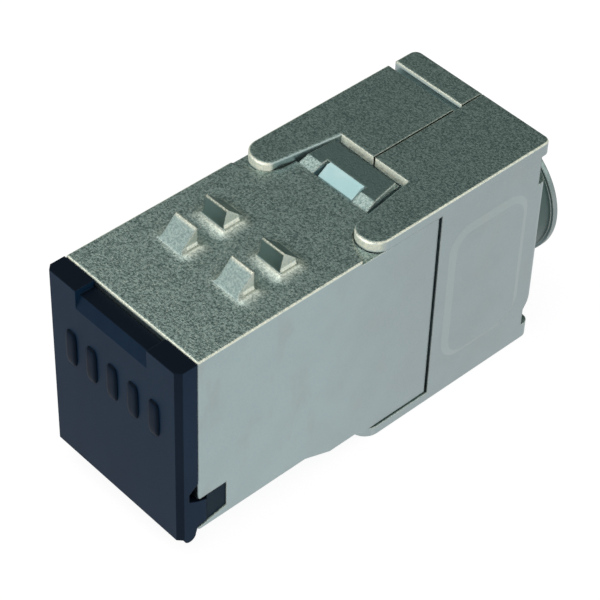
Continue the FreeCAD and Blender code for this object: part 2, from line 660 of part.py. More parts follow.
def make_insert():
    """The moulded plug port with its contact comb and the flap's knuckles."""
    body = new_body("port_insert")
    block = rectangle(-INSERT_HALF, INSERT_BOTTOM, INSERT_HALF, INSERT_TOP)
    pad(body, "XZ", S.insert_recess, INSERT_REAR, block)
    port_end = S.insert_recess + S.port_depth
    half = S.port_width / 2
    steps = [
        (-half, PORT_FLOOR),
        (half, PORT_FLOOR),
        (half, PORT_TOP),
        (S.key_width / 2, PORT_TOP),
        (S.key_width / 2, PORT_TOP + S.key_height),
        (S.clip_width / 2, PORT_TOP + S.key_height),
        (S.clip_width / 2, CLIP_TOP),
        (-S.clip_width / 2, CLIP_TOP),
        (-S.clip_width / 2, PORT_TOP + S.key_height),
        (-S.key_width / 2, PORT_TOP + S.key_height),
        (-S.key_width / 2, PORT_TOP),
        (-half, PORT_TOP),
    ]
    pocket(body, "XZ", -CUT, port_end, steps)
    slot_half = S.contact_width / 2 + S.comb_gap
    slot_low = CONTACT_LEG - S.contact_thick / 2 - S.comb_gap
    slot_high = CONTACT_LEG + S.contact_thick / 2 + S.comb_gap
    comb = [rectangle(x - slot_half, slot_low, x + slot_half, PORT_FLOOR + S.comb_gap) for x in CONTACTS_X]
    pocket(body, "XZ", S.contact_front - S.contact_thick / 2 - S.comb_gap, port_end, *comb)
    legs = [rectangle(x - slot_half, slot_low, x + slot_half, slot_high) for x in CONTACTS_X]
    pocket(body, "XZ", port_end - S.comb_gap, INSERT_REAR + CUT, *legs)
    spring_end = S.spring_start + 2 * S.spring_foot + 2 * S.spring_bow
    spring_half = S.spring_height / 2 + S.spring_room
    window = rectangle(
        S.spring_start - S.spring_room,
        -S.spring_drop - spring_half,
        spring_end + S.spring_room,
        -S.spring_drop + spring_half,
    )
    pocket(body, "YZ", -INSERT_HALF - CUT, INSERT_HALF + CUT, window)
    web_rear = -S.web_gap
    web = [
        (HINGE_Y + S.web_gap / 4, HINGE_Z),
        (web_rear, HINGE_Z),
        (web_rear, INSERT_BOTTOM + S.fit_gap),
        (S.insert_recess + S.insert_side, INSERT_BOTTOM + S.fit_gap),
        (S.insert_recess + S.insert_side, HINGE_Z + S.web_height),
        (HINGE_Y + S.web_gap / 4, HINGE_Z + S.web_height),
    ]
    block_front = S.arm_reach + S.arm_gap
    floor_rise = S.side_notch_rise * block_front / S.side_notch_length
    block = [
        (block_front, HINGE_Z + S.side_notch_low + floor_rise + S.fit_gap),
        (S.side_notch_length - S.fit_gap, HINGE_Z + S.side_notch_low + S.side_notch_rise + S.fit_gap),
        (S.side_notch_length - S.fit_gap, HINGE_Z + S.side_notch_top - S.fit_gap),
        (block_front, HINGE_Z + S.side_notch_top - S.fit_gap),
    ]
    for hand in (-1, 1):
        low, high = sorted((hand * KNUCKLE_IN, hand * KNUCKLE_OUT), key=lambda x: x.value)
        pad(body, "YZ", low, high, web)
        pad(body, "YZ", low, high, (HINGE_Y, HINGE_Z, S.knuckle_radius))
        pin_end = KNUCKLE_OUT + S.pin_length
        low, high = sorted((hand * KNUCKLE_IN, hand * pin_end), key=lambda x: x.value)
        pad(body, "YZ", low, high, (HINGE_Y, HINGE_Z, S.pin_radius))
        root = INSERT_HALF - S.insert_side / 2
        low, high = sorted((hand * root, hand * (BODY_HALF - S.block_inset)), key=lambda x: x.value)
        pad(body, "YZ", low, high, block)
    return body


def make_flap():
    """The dust flap: a tray with a thumb notch and two hinge arms."""
    body = new_body("dust_flap")
    face_rear = S.flap_face - S.flap_depth
    pad(body, "XZ", -S.flap_depth, face_rear, rectangle(-BODY_HALF, HINGE_Z, BODY_HALF, FLAP_TOP))

    def front_corner(edge):
        middle = edge.CenterOfMass
        return runs_along(edge, Z_AXIS) and near(middle.y, -S.flap_depth)

    dress(body, "Chamfer", S.flap_chamfer, front_corner)
    inside = face_rear - S.flap_chamfer
    cover = rectangle(inside, FLAP_TOP - S.flap_wall, -S.flap_gap, FLAP_TOP)
    pad(body, "YZ", -BODY_HALF, BODY_HALF, cover)
    stop = HINGE_Z + S.side_stop
    wall = [
        (inside, stop - S.side_bevel),
        (-S.flap_gap, stop),
        (-S.flap_gap, FLAP_TOP),
        (inside, FLAP_TOP),
    ]
    arm_low = HINGE_Z + S.arm_low
    arm_end_rise = S.arm_radius - S.arm_fall
    arm = [
        (HINGE_Y, HINGE_Z - S.boss_radius / 2),
        (HINGE_Y + S.boss_radius, HINGE_Z),
        (-S.flap_gap, arm_low),
        (S.arm_reach, arm_low),
        (S.arm_reach, HINGE_Z + arm_end_rise),
        (-S.flap_gap, HINGE_Z + S.arm_radius - S.arm_slope),
        (inside, HINGE_Z + S.arm_root),
        (inside, HINGE_Z),
    ]
    for hand in (-1, 1):
        low, high = sorted((hand * FLAP_INNER, hand * BODY_HALF), key=lambda x: x.value)
        pad(body, "YZ", low, high, wall)
        pad(body, "YZ", low, high, arm)
        pad(body, "YZ", low, high, (HINGE_Y, HINGE_Z, S.boss_radius))
    pad(body, "YZ", -S.barrel_half, S.barrel_half, (HINGE_Y, HINGE_Z, S.barrel_radius))
    relief = (HINGE_Y, HINGE_Z, S.knuckle_radius + S.knuckle_gap)
    pin_hole = (HINGE_Y, HINGE_Z, S.pin_radius + S.pin_gap)
    hole_end = KNUCKLE_OUT + S.pin_length + S.knuckle_gap
    for hand in (-1, 1):
        low, high = sorted((hand * S.barrel_half, hand * FLAP_INNER), key=lambda x: x.value)
        pocket(body, "YZ", low, high, relief)
        low, high = sorted((hand * FLAP_INNER, hand * hole_end), key=lambda x: x.value)
        pocket(body, "YZ", low, high, pin_hole)
    scoop = [
        (-S.flap_depth - CUT, FLAP_TOP - S.thumb_ledge - S.scoop_height),
        (-S.flap_depth, FLAP_TOP - S.thumb_ledge - S.scoop_height),
        (-S.flap_depth + S.scoop_depth, FLAP_TOP - S.thumb_ledge),
        (CUT, FLAP_TOP - S.thumb_ledge),
        (CUT, FLAP_TOP + CUT),
        (-S.flap_depth - CUT, FLAP_TOP + CUT),
    ]
    pocket(body, "YZ", -S.thumb_half, S.thumb_half, scoop)
    return body


def make_door(label, hand):
    """One swinging rear half: ears, studs, half a collar, hook notches."""
    body = new_body(label)
    edge_in = hand * S.meet_gap / 2
    shell = [
        (edge_in, DOOR_FRONT),
        (hand * DOOR_HALF, DOOR_FRONT),
        (hand * DOOR_HALF, DOOR_REAR, S.door_round),
        (edge_in, DOOR_REAR),
    ]
    pad(body, "XY", DOOR_BOTTOM, DOOR_TOP, shell)
    cavity = [
        (-hand * CUT, DOOR_FRONT - CUT),
        (hand * (DOOR_HALF - S.door_side), DOOR_FRONT - CUT),
        (hand * (DOOR_HALF - S.door_side), DOOR_REAR - S.door_back),
        (-hand * CUT, DOOR_REAR - S.door_back),
    ]
    pocket(body, "XY", LOWER_EAR_TOP, EAR_UNDER, cavity)
    ear = [
        (hand * DOOR_HALF, EAR_ROOT),
        (hand * DOOR_HALF, EAR_FRONT, S.ear_radius),
        (hand * EAR_INNER, EAR_FRONT, S.ear_inner_round),
        (hand * S.bay_half, EAR_ROOT),
    ]
    pad(body, "XY", EAR_UNDER, DOOR_TOP, ear)
    pad(body, "XY", DOOR_BOTTOM, LOWER_EAR_TOP, ear)

    def outer(edge):
        if not (all_at(edge, DOOR_TOP) or all_at(edge, DOOR_BOTTOM)):
            return False
        return near(abs(edge.CenterOfMass.x), DOOR_HALF)

    dress(body, "Fillet", S.edge_round, outer)
    stud = (hand * PIVOT_X, PIVOT_Y, S.stud_radius)
    pad(body, "XY", EAR_UNDER - S.stud_length, DOOR_TOP - S.door_rise, stud)
    pad(body, "XY", LOWER_EAR_TOP - S.ear_lower / 2, LOWER_EAR_TOP + S.stud_length, stud)
    collar_end = DOOR_REAR + S.collar_length
    pad(body, "XZ", DOOR_REAR - S.door_back / 2, collar_end, (0, COLLAR_Z, COLLAR_RADIUS))
    pad(body, "XZ", collar_end - S.rim_width, collar_end, (0, COLLAR_Z, COLLAR_RADIUS + S.rim_proud))
    bore = (0, COLLAR_Z, S.cable_radius)
    pocket(body, "XZ", DOOR_REAR - S.door_back - CUT, collar_end + CUT, bore)
    across = COLLAR_RADIUS + S.rim_proud + CUT
    other_half = [
        (edge_in, COLLAR_Z - across),
        (edge_in, COLLAR_Z + across),
        (-hand * across, COLLAR_Z + across),
        (-hand * across, COLLAR_Z - across),
    ]
    pocket(body, "XZ", DOOR_REAR - S.door_back, collar_end + CUT, other_half)
    raised = []
    for inset in (as_size(0), S.panel_slope):
        low, high = DOOR_BOTTOM + S.panel_under + inset, DOOR_TOP - S.panel_over - inset
        front, rear = DOOR_FRONT + S.panel_front + inset, DOOR_REAR - S.panel_rear - inset
        corner = S.panel_round - inset
        raised.append([(front, low, corner), (rear, low, corner), (rear, high, corner), (front, high, corner)])
    loft(body, "YZ", (hand * DOOR_HALF, raised[0]), (hand * (DOOR_HALF + S.panel_rise), raised[1]))
    heel = [
        (DOOR_REAR, DOOR_BOTTOM + 2 * S.heel_round),
        (DOOR_REAR, DOOR_BOTTOM, S.heel_round),
        (DOOR_REAR - 2 * S.heel_round, DOOR_BOTTOM),
        (DOOR_REAR - 2 * S.heel_round, DOOR_BOTTOM - CUT),
        (DOOR_REAR + CUT, DOOR_BOTTOM - CUT),
        (DOOR_REAR + CUT, DOOR_BOTTOM + 2 * S.heel_round),
    ]
    pocket(body, "YZ", -DOOR_HALF - CUT, DOOR_HALF + CUT, heel)
    hooks = sorted((hand * (DOOR_HALF - S.notch_width), hand * (DOOR_HALF + CUT)), key=lambda x: x.value)
    notch_front = DOOR_REAR - S.notch_depth
    notch_top = DOOR_TOP - S.lip_height
    upper = rectangle(notch_front, notch_top - S.notch_height, DOOR_REAR + CUT, notch_top)
    notch_low = DOOR_BOTTOM + S.notch_low
    lower = [
        (notch_front, notch_low),
        (DOOR_REAR + CUT, notch_low),
        (DOOR_REAR + CUT, notch_low + S.notch_slant * 2),
        (DOOR_REAR, notch_low + S.notch_slant * 2),
        (notch_front, notch_low + S.notch_slant),
    ]
    pocket(body, "YZ", hooks[0], hooks[1], upper, lower)
    if hand < 0:
        groove_rear = DOOR_REAR - S.strip_length
        groove_front = groove_rear - S.groove_width
        floor = DOOR_TOP - S.groove_depth
        rib_start = groove_front - S.rib_wall
        rib = rectangle(-DOOR_HALF + S.door_side / 2, rib_start, edge_in, groove_rear + S.rib_wall)
        pad(body, "XY", floor - S.rib_wall, EAR_UNDER + S.door_rise / 2, rib)
        groove = rectangle(-DOOR_HALF - CUT, groove_front, CUT, groove_rear)
        pocket(body, "XY", floor, DOOR_TOP + CUT, groove)
    return body


def make_contact(number, x):
    """One springing plug contact, bent from strip."""
    body = new_body(f"contact_{number}")
    low_bend = CONTACT_LEG + S.contact_rise
    path = [
        (BOARD_REAR, CONTACT_LEG),
        (S.contact_front, CONTACT_LEG, S.contact_bend),
        (S.contact_front, low_bend, S.contact_bend),
        (S.contact_front + S.contact_run, low_bend + S.contact_lift),
    ]
    half_width = S.contact_width / 2
    half_thick = S.contact_thick / 2
    section = rectangle(x - half_width, CONTACT_LEG - half_thick, x + half_width, CONTACT_LEG + half_thick)
    sweep(body, "YZ", x, path, "XZ", -BOARD_REAR, section)
    return body


def make_terminal(number, x, z):
    """One forked wire terminal with its solder tail."""
    body = new_body(f"idc_{number}")
    plate = BLOCK_FRONT + S.terminal_seat
    tip = BLOCK_REAR + S.terminal_reach
    half = S.terminal_width / 2
    tail = S.terminal_tail / 2
    slot = S.prong_slot / 2
    fork = [
        (x - tail, BOARD_FRONT),
        (x + tail, BOARD_FRONT),
        (x + tail, plate),
        (x + half, plate),
        (x + half, tip - S.prong_bevel),
        (x + half - S.prong_bevel, tip),
        (x + slot, tip),
        (x + slot, tip - S.prong_depth),
        (x - slot, tip - S.prong_depth),
        (x - slot, tip),
        (x - half + S.prong_bevel, tip),
        (x - half, tip - S.prong_bevel),
        (x - half, plate),
        (x - tail, plate),
    ]
    pad(body, "XY", z - S.terminal_thick / 2, z + S.terminal_thick / 2, fork)
    return body


def around_terminals(room):
    """Rectangles round every terminal, in an upright plane across."""
    wide = S.terminal_width / 2 + room
    high = S.terminal_thick / 2 + room
    return [rectangle(x - wide, z - high, x + wide, z + high) for x in TERMINALS_X for z in TERMINALS_Z]


def make_board():
    """The circuit board between the contacts and the terminals."""
    body = new_body("circuit_board")
    pad(
        body, "XZ", BOARD_FRONT, BOARD_REAR,
        rectangle(-BLOCK_HALF, INSERT_BOTTOM + S.board_margin, BLOCK_HALF, INSERT_TOP - S.board_margin),
    )
    holes = [(x, CONTACT_LEG, S.solder_hole) for x in CONTACTS_X]
    holes += [(x, z, S.solder_hole) for x in TERMINALS_X for z in TERMINALS_Z]
    pocket(body, "XZ", BOARD_FRONT - CUT, BOARD_REAR + CUT, *holes)
    return body


def make_block():
    """The moulded block that carries the wire terminals."""
    body = new_body("idc_block")
    pad(
        body, "XZ", BLOCK_FRONT, BLOCK_REAR,
        rectangle(-BLOCK_HALF, INSERT_BOTTOM + S.board_margin, BLOCK_HALF, INSERT_TOP - S.block_low),
    )
    pocket(body, "XZ", BLOCK_FRONT - CUT, BLOCK_REAR + CUT, *around_terminals(S.terminal_gap))
    return body


def make_cap():
    """The wire cap with its wire channels and the tab in the window."""
    body = new_body("wire_cap")
    edge_x = INNER_HALF - S.cap_margin
    low = INNER_BOTTOM + S.cap_margin
    high = INNER_TOP - S.cap_margin
    pad(body, "XZ", CAP_FRONT, CAP_REAR, rectangle(-edge_x, low, edge_x, high))
    pocket(body, "XZ", CAP_FRONT - CUT, CAP_FRONT + S.cap_pocket, *around_terminals(S.cap_room))
    start = CAP_FRONT + S.wire_start
    channels = [
        rectangle(x - S.wire_channel / 2, start, x + S.wire_channel / 2, start + S.wire_length)
        for x in TERMINALS_X
    ]
    pocket(body, "XY", S.terminal_rise, high + CUT, *channels)
    pocket(body, "XY", low - CUT, -S.terminal_rise, *channels)
    funnel = rectangle(-S.funnel_half, COLLAR_Z - S.funnel_half, S.funnel_half, COLLAR_Z + S.funnel_half)
    pocket(body, "XZ", CAP_REAR - S.funnel_depth, CAP_REAR + CUT, funnel)
    tab_front = BRIDGE_FRONT + S.tab_room
    tab_rear = BRIDGE_FRONT + S.window_length - S.tab_room
    catch = [
        (tab_front, high - S.cap_margin),
        (tab_rear, high - S.cap_margin),
        (tab_rear, BODY_TOP + S.tab_rise),
        (tab_front + S.tab_run, BODY_TOP + S.tab_rise),
        (tab_front, BODY_TOP),
    ]
    pad(body, "YZ", -S.tab_left, S.tab_right, catch)
    return body


def make_shield_spring(label, hand):
    """One bowed spring that grounds a shielded plug."""
    body = new_body(label)
    flat = hand * (INNER_HALF - S.fit_gap - S.spring_thick / 2)
    bow = hand * (INNER_HALF - S.fit_gap - S.spring_thick / 2 - S.spring_reach)
    path = [
        (flat, S.spring_start),
        (flat, S.spring_start + S.spring_foot, S.spring_bend),
        (bow, S.spring_start + S.spring_foot + S.spring_bow, S.spring_bend),
        (flat, S.spring_start + S.spring_foot + 2 * S.spring_bow, S.spring_bend),
        (flat, S.spring_start + 2 * S.spring_foot + 2 * S.spring_bow),
    ]
    side = S.spring_thick / 2
    low = -S.spring_drop - S.spring_height / 2
    section = rectangle(flat - side, low, flat + side, low + S.spring_height)
    sweep(body, "XY", -S.spring_drop, path, "XZ", -S.spring_start, section)
    return body


def make_latch():
    """The stamped keystone latch below the housing, staked at its front."""
    body = new_body("keystone_latch")
    half = S.latch_thick / 2
    root_z = BODY_BOTTOM - S.fit_gap - half
    low_z = DOOR_BOTTOM + half
    floor_z = DOOR_BOTTOM + S.latch_catch + half
    slot_end = S.panel_plane + S.panel_slot
    path = [
        (S.latch_root, root_z),
        (S.latch_root + S.latch_flat, root_z, S.latch_bend),
        (S.panel_plane - S.latch_nose, low_z, S.latch_bend),
        (S.panel_plane + S.latch_step, floor_z, S.latch_bend),
        (slot_end - S.latch_step, floor_z, S.latch_bend),
        (slot_end + S.latch_nose, low_z, S.latch_bend),
        (slot_end + S.latch_tail, low_z + S.tail_rise),
    ]
    section = rectangle(-S.latch_width / 2, root_z - half, S.latch_width / 2, root_z + half)
    sweep(body, "YZ", 0, path, "XZ", -S.latch_root, section)
    holes = [
        (spot, S.latch_root + S.stake_back, S.stake_radius + S.fit_gap)
        for spot in both_ways([S.stake_half])
    ]
    pocket(body, "XY", root_z - CUT / 2, root_z + CUT / 2, *holes)
    return body


pieces = [
    make_housing(),
    make_insert(),
    make_flap(),
    make_door("left_door", -1),
    make_door("right_door", 1),
    make_latch(),
    make_board(),
    make_block(),
    make_cap(),
    make_shield_spring("shield_spring_left", -1),
    make_shield_spring("shield_spring_right", 1),
]
for number, x in enumerate(CONTACTS_X, start=1):
    pieces.append(make_contact(number, x))
for number in range(8):
    pieces.append(make_terminal(number + 1, TERMINALS_X[number % 4], TERMINALS_Z[number // 4]))
doc.recompute()

for item in doc.Objects:
    if "Invalid" in item.State or "Error" in item.State:
        raise RuntimeError(f"{item.Name} did not compute: {item.State}")
os.makedirs("parts", exist_ok=True)
for piece in pieces:
    shape = piece.Shape
    if shape.isNull() or not shape.isValid() or len(shape.Solids) != 1:
        raise RuntimeError(f"{piece.Label} is not one valid solid")
    shape.exportStep(f"parts/{piece.Label}.step")
    box = shape.BoundBox
    print(
        f"{piece.Label}: {shape.Volume:.2f} mm3, "
        f"X {box.XMin:.2f}..{box.XMax:.2f}, Y {box.YMin:.2f}..{box.YMax:.2f}, Z {box.ZMin:.2f}..{box.ZMax:.2f}"
    )
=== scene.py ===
"""Shielded keystone jack: finishes, grip ribs and studio.

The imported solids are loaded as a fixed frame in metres, with +X to the
right, +Y rearwards from the front edge of the cast housing and +Z up.
"""
import math

import bpy
import numpy as np
from bpy.props import FloatProperty, FloatVectorProperty, IntProperty, PointerProperty
from mathutils import Matrix, Vector


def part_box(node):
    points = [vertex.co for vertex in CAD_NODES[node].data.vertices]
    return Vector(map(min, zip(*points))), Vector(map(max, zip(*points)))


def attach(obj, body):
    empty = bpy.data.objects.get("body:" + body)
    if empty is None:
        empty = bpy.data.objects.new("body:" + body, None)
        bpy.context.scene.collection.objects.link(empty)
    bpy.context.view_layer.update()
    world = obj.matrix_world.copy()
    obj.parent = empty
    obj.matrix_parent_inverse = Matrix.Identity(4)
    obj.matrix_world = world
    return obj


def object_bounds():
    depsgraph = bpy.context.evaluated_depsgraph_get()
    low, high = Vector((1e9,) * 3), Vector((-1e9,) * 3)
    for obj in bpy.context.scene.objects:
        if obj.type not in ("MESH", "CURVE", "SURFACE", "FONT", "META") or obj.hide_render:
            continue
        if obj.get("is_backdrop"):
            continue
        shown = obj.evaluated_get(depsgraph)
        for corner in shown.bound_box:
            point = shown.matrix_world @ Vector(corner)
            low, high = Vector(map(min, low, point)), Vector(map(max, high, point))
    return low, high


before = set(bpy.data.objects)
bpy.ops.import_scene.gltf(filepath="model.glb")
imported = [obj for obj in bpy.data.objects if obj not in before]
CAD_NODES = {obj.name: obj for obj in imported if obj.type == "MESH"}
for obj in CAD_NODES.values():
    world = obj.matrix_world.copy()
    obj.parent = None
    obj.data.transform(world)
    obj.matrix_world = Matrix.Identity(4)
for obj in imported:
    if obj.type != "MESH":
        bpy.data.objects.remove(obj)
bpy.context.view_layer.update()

bl_info = {
    "name": "Keystone Jack",
    "version": (1, 0, 0),
    "blender": (4, 5, 0),
    "location": "View3D > Sidebar > Jack",
    "description": "Finishes and studio for a shielded keystone jack",
    "category": "Object",
}

MM = 0.001
CONTACTS = [f"contact_{n}" for n in range(1, 9)]
TERMINALS = [f"idc_{n}" for n in range(1, 9)]

# Features of the castings, in millimetres
LUG_HEIGHT = 1.6
LUG_HALF = 1.15
LUG_SPREAD = 3.05
LUG_RUNS = ((6.8, 7.85), (10.25, 11.8))
LUG_ROOT = 0.12
LUG_ZONE = 5.0
SKIRT_REACH = 1.25
SKIRT_HEIGHT = 0.42
CORNER_START = 6.4
BRIDGE_START = 19.6
GROOVE_START = 30.0
GROOVE_DROP = 0.6
NECK_START = 35.22
NECK_END = 38.1
RIM_DEPTH = 1.0
PLATE_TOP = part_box("housing")[1].z / MM - LUG_HEIGHT
RIM_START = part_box("right_door")[1].z / MM - RIM_DEPTH

# Lean for each millimetre of rise
FLANK_DRAFT = 0.42
RIM_DRAFT = 0.8

# Patterns in the finishes, in millimetres
CLOUD_SIZE = 3.4
SMUDGE_SIZE = 2.2
SCRATCH_SIZE = 0.5
FLOW_SIZE = 2.6
DUST_SIZE = 0.16
LINE_SIZE = 0.08
STAIN_SIZE = 1.6
WEAVE_PITCH = 0.5
MOTTLE_SIZE = 0.9
PLASTIC_EDGE = 0.12
SHEET_EDGE = 0.06
ALONG_Y = (1.0, 0.06, 1.0)
ALONG_Z = (1.0, 1.0, 0.06)

# How much of a face's direction points up, and how far it stands proud
UPWARD = (0.8, 0.9)
PROUD = (0.02, 0.2)

BEVEL_SAMPLES = 4
PAD_ROWS = 10
PAD_COLUMNS = 40
PAD_POWER = 4.0

FLOOR_RINGS = (0.0, 0.05, 0.15, 0.5, 2.0)
FLOOR_SIDES = 96
FLOOR_DROP = 0.02
WHITE = (1.0, 1.0, 1.0, 1.0)
CARD = (0.8, 0.8, 0.8, 1.0)
FLAG_WAY = (-0.47, 0.64, 0.61)
LAMP_AIM = (0.0, 0.015, 0.0)
SENSOR_WIDTH = 36.0


def colour_prop(name, text, default):
    """A colour property with a name, a description and a default."""
    return FloatVectorProperty(
        name=name, description=text, subtype="COLOR", size=3, min=0.0, max=1.0, default=default
    )


def length_prop(name, text, default):
    """A length property whose default is given in millimetres."""
    return FloatProperty(
        name=name, description=text, unit="LENGTH", precision=5, min=0.0, default=default * MM
    )


def factor_prop(name, text, default):
    """A property from 0 to 1."""
    return FloatProperty(
        name=name, description=text, subtype="FACTOR", min=0.0, max=1.0, default=default
    )


def angle_prop(name, text, default):
    """An angle property whose default is given in degrees."""
    return FloatProperty(
        name=name, description=text, subtype="ANGLE", default=math.radians(default)
    )


def power_prop(name, text, default):
    """A lamp's power in watts."""
    return FloatProperty(name=name, description=text, unit="POWER", min=0.0, default=default)


def place_prop(name, text, default):
    """A place in metres."""
    return FloatVectorProperty(
        name=name, description=text, subtype="TRANSLATION", size=3, precision=5, default=default
    )


# ---------------------------------------------------------------- shader maths


class Wire:
    """A node socket that can be used in Python expressions."""

    def __init__(self, tree, socket):
        self.tree = tree
        self.socket = socket

    def _math(self, operation, *values):
        return self.tree.node("ShaderNodeMath", {"operation": operation}, *values)

    def __add__(self, other):
        return self._math("ADD", self, other)

    __radd__ = __add__

    def __sub__(self, other):
        return self._math("SUBTRACT", self, other)

    def __rsub__(self, other):
        return self._math("SUBTRACT", other, self)

    def __mul__(self, other):
        return self._math("MULTIPLY", self, other)

    __rmul__ = __mul__

    def __truediv__(self, other):
        return self._math("DIVIDE", self, other)

    def __pow__(self, other):
        return self._math("POWER", self, other)

    def at_least(self, other):
        """The larger of two values."""
        return self._math("MAXIMUM", self, other)

    def at_most(self, other):
        """The smaller of two values."""
        return self._math("MINIMUM", self, other)

    def magnitude(self):
        """The value without its sign."""
        return self._math("ABSOLUTE", self)

    def sine(self):
        """The sine of an angle in radians."""
        return self._math("SINE", self)

    def step(self, low, high):
        """0 below low, 1 above high, a smooth rise between them."""
        settings = {"interpolation_type": "SMOOTHSTEP"}
        return self.tree.node("ShaderNodeMapRange", settings, self, low, high, 0.0, 1.0)


class Tree:
    """The node tree of a material or of the world."""

    def __init__(self, owner):
        owner.use_nodes = True
        self.tree = owner.node_tree
        self.tree.nodes.clear()

    def node(self, kind, settings=None, *values, out=0, sockets=None, **named):
        """A node with its settings, its input values or links, and one output."""
        made = self.tree.nodes.new(kind)
        for key, value in (settings or {}).items():
            setattr(made, key, value)
        for key, value in [*enumerate(values), *(sockets or {}).items(), *named.items()]:
            socket = made.inputs[key if isinstance(key, int) else key.replace("_", " ")]
            if isinstance(value, Wire):
                self.tree.links.new(value.socket, socket)
            else:
                socket.default_value = value
        return Wire(self, made.outputs[out]) if made.outputs else None

    def place(self):
        """The point on the piece, in metres."""
        return self.node("ShaderNodeTexCoord", out="Object")

    def normal(self):
        """The outward direction of the face."""
        return self.node("ShaderNodeNewGeometry", out="Normal")

    def ray(self, kind):
        """1 for one kind of ray, 0 for the others."""
        return self.node("ShaderNodeLightPath", out=kind)

    def noise(self, place, size, detail=2.0, rough=0.5, stretch=None):
        """Noise whose lumps are about size millimetres across."""
        if stretch:
            place = self.node("ShaderNodeMapping", None, place, Scale=stretch)
        return self.node(
            "ShaderNodeTexNoise", {"noise_dimensions": "3D"}, place,
            Scale=1.0 / (size * MM), Detail=detail, Roughness=rough,
        )

    def cells(self, place, size):
        """Distance from the nearest of scattered points, size millimetres apart."""
        settings = {"feature": "F1"}
        return self.node("ShaderNodeTexVoronoi", settings, place, Scale=1.0 / (size * MM))

    def mix(self, amount, low, high):
        """A colour between two colours."""
        low, high = (c if isinstance(c, Wire) else (*c, 1.0) for c in (low, high))
        settings = {"data_type": "RGBA", "clamp_factor": True}
        return self.node("ShaderNodeMix", settings, amount, out=2, sockets={6: low, 7: high})

    def blend(self, amount, low, high):
        """A shader between two shaders."""
        return self.node("ShaderNodeMixShader", None, amount, low, high)

    def parts(self, vector):
        """The three numbers of a vector."""
        split = self.node("ShaderNodeSeparateXYZ", None, vector)
        return [Wire(self, output) for output in split.socket.node.outputs]

    def match(self, first, second):
        """1 where two directions agree, 0 where they are square, -1 where opposed."""
        settings = {"operation": "DOT_PRODUCT"}
        return self.node("ShaderNodeVectorMath", settings, first, second, out="Value")

    def rounded(self, radius):
        """The outward direction with edges rounded by radius millimetres."""
        return self.node("ShaderNodeBevel", {"samples": BEVEL_SAMPLES}, Radius=radius * MM)

    def edge(self, radius):
        """1 along sharp outer edges within radius millimetres, 0 elsewhere."""
        true = self.node("ShaderNodeNewGeometry", out="True Normal")
        return (1.0 - self.match(self.rounded(radius), true)).step(0.02, 0.25)

    def bump(self, height, depth, strength=1.0, radius=0.0):
        """A normal from a height, depth millimetres from low to high."""
        named = {"Strength": strength, "Distance": depth * MM, "Height": height}
        if radius:
            named["Normal"] = self.rounded(radius)
        return self.node("ShaderNodeBump", **named)

    def surface(self, **sockets):
        """A Principled shader with these sockets, linked to the output."""
        shader = self.node("ShaderNodeBsdfPrincipled", **sockets)
        self.node("ShaderNodeOutputMaterial", Surface=shader)


def material(name):
    """A new material and its tree."""
    made = bpy.data.materials.new(name)
    return made, Tree(made)


def paint(made, *nodes):
    """Gives CAD nodes or pieces one material."""
    for node in nodes:
        target = CAD_NODES[node] if isinstance(node, str) else node
        target.data.materials.clear()
        target.data.materials.append(made)


# ------------------------------------------------------------------ materials


def lug_relief(tree, place, normal):
    """Hollow round each fixed lug's root and draft of the lugs' flanks, with
    painted highlights on the crests, flanks, root fillets, the hollows' lit
    sides and the housing's front lip, and painted shade on the lugs' front and
    rear faces, the fillets, the bridge and the tops towards the rear. The hollow
    falls away as the square of what is left of its reach; a flank leans back
    by its draft for each millimetre of rise."""
    x, y, z = (axis / MM for axis in tree.parts(place))
    across, along, up = normal
    forward = 0.0 - along
    level = up.step(*UPWARD)
    sideways = ((x.magnitude() - LUG_SPREAD).magnitude() - LUG_HALF - LUG_ROOT).at_least(0.0)
    away = None
    for front, rear in LUG_RUNS:
        lengthways = (y - (front + rear) / 2.0).magnitude() - (rear - front) / 2.0
        lengthways = lengthways.at_least(0.0)
        gap = (sideways * sideways + lengthways * lengthways) ** 0.5
        away = gap if away is None else away.at_most(gap)
    left = (1.0 - away / SKIRT_REACH).at_least(0.0)
    rightwards = x + LUG_SPREAD - x.step(-0.1, 0.1) * (2.0 * LUG_SPREAD)
    lit_side = 0.35 + 0.65 * rightwards.step(-2.2, 0.8)
    # The hollow is a bump; on its lit side it also carries a painted highlight.
    hollow = left * left * (1.0 - forward.step(0.3, 0.6)) * lit_side
    rise = (z - PLATE_TOP).at_least(0.0)
    proud = rise.step(*PROUD)
    flank = across.magnitude().step(0.6, 0.9)
    height = hollow * SKIRT_HEIGHT - rise * flank * FLANK_DRAFT

    # Painted highlights on the lugs' crests and on the housing's front-top lip.
    crest_highlight = rise.step(1.4, 1.55)
    lip = forward.step(0.2, 0.4) * up.step(0.2, 0.4) * (1.0 - y.step(0.25, 0.35))
    painted_highlight = (proud * flank * 0.5).at_least(hollow * 0.8).at_least(crest_highlight).at_least(lip)
    # Painted shade on the lugs' front and rear faces and on the bridge floor.
    front_face = proud * forward.step(0.85, 0.95) * 0.7
    rear_face = proud * along.step(0.25, 0.45)
    bridge = y.step(BRIDGE_START, BRIDGE_START + 0.3) * (1.0 - forward.step(0.2, 0.5)) * level
    # The root fillets take both a painted highlight and painted shade.
    tilt = across.magnitude()
    root = tilt.step(0.2, 0.45) * (1.0 - tilt.step(0.9, 0.98))
    root = root * (1.0 - x.magnitude().step(LUG_ZONE, LUG_ZONE + 0.2))
    painted_highlight = painted_highlight.at_least(root * 0.45) * (1.0 - root * 0.1)
    # Painted shade on upward faces, darker towards the rear.
    rearward = y.step(2.0, 18.0) * level * 0.28
    painted_shade = front_face.at_least(bridge).at_least(root * 0.8).at_least(rearward)
    return height, painted_highlight * (1.0 - rear_face), painted_shade.at_least(rear_face)


